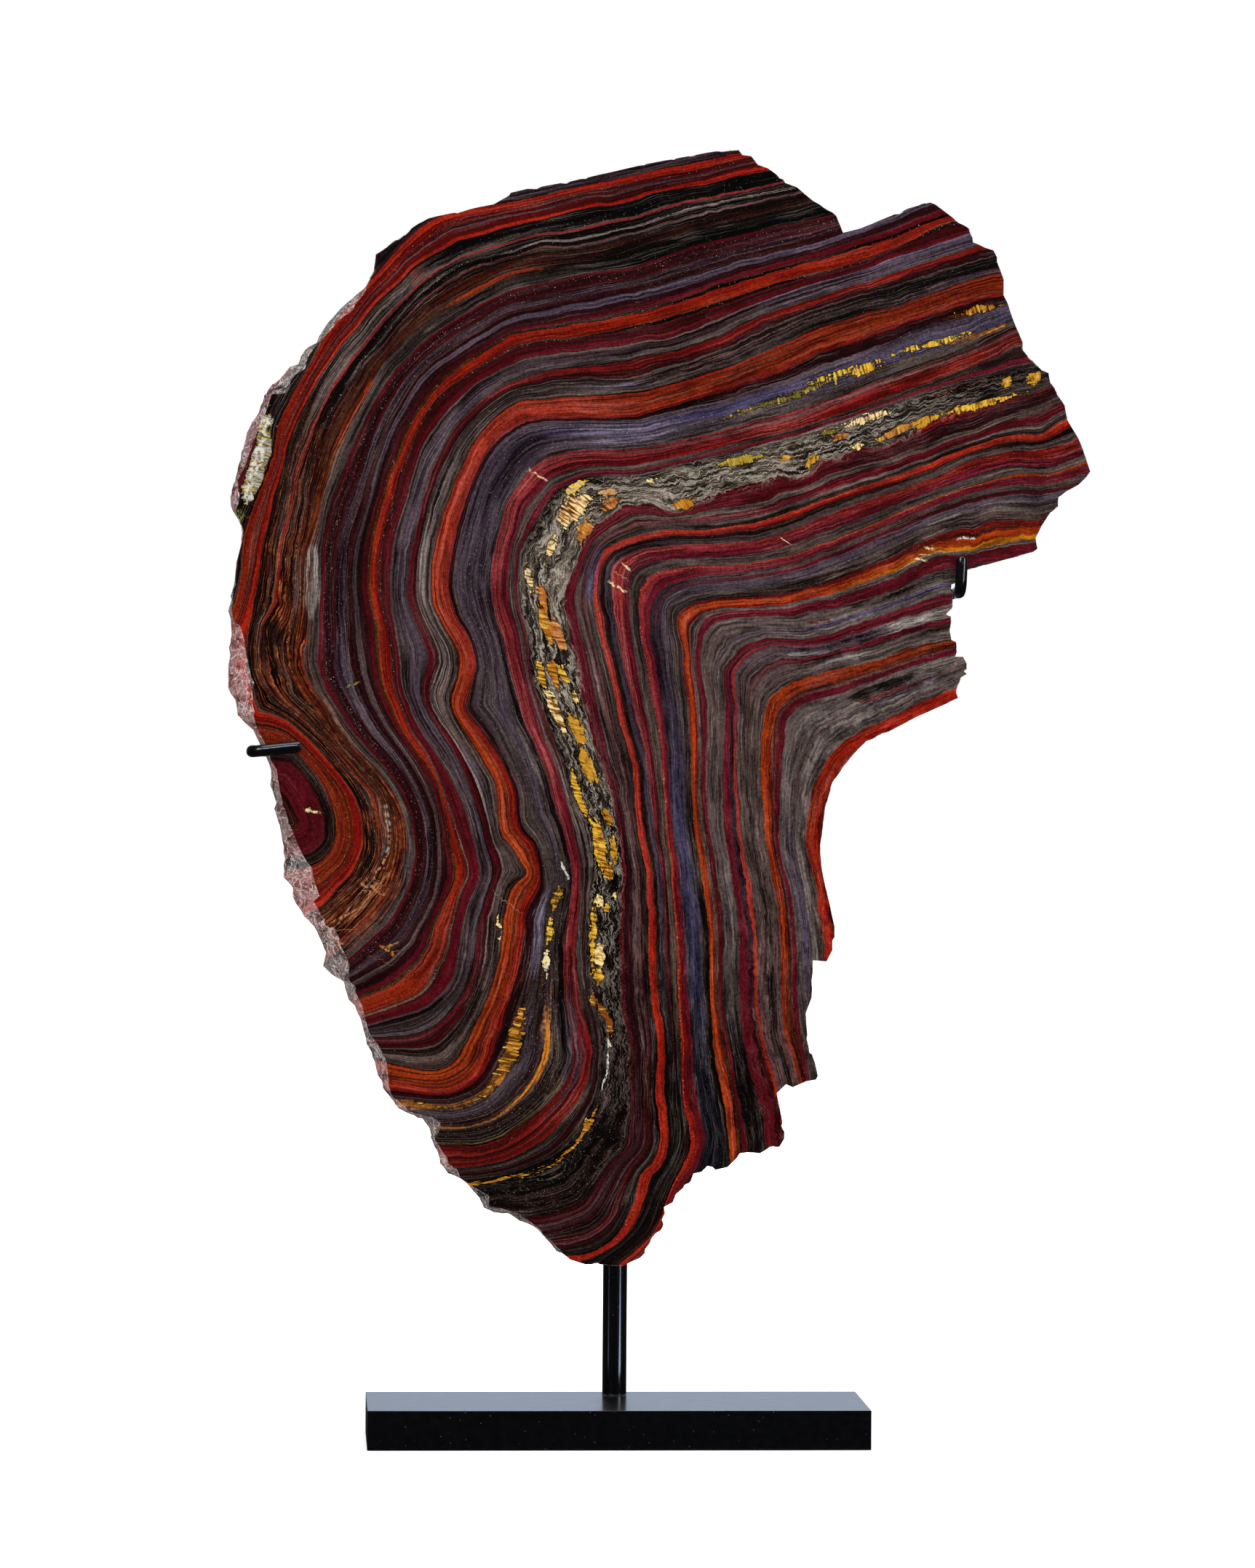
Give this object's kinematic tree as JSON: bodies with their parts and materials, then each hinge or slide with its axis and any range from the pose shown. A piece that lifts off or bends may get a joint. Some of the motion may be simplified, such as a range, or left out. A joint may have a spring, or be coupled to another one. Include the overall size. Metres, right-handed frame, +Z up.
{
  "type": "banded ironstone slab on a stand",
  "caption": "Upright polished slab of folded banded ironstone with broken edges, held by wire hooks on a post above a flat steel bar base.",
  "frame": {"origin": "the middle of the base's underside", "axes": "+X to the right along the base, seen from the polished face; +Y away from the polished face, towards the post; +Z up"},
  "size_m": [0.4417, 0.076, 0.6595],
  "materials": {
    "banded_stone": "polished on the face, sawn flat and rubbed behind, broken and unpolished round the edge",
    "black_steel_bar": "smooth black, satin",
    "black_steel_rod": "smooth black, gloss"
  },
  "bodies": {
    "root": {"slab": "banded_stone", "base": "black_steel_bar", "post": "black_steel_rod", "left_arm": "black_steel_rod", "right_arm": "black_steel_rod"}
  },
  "joints": []
}
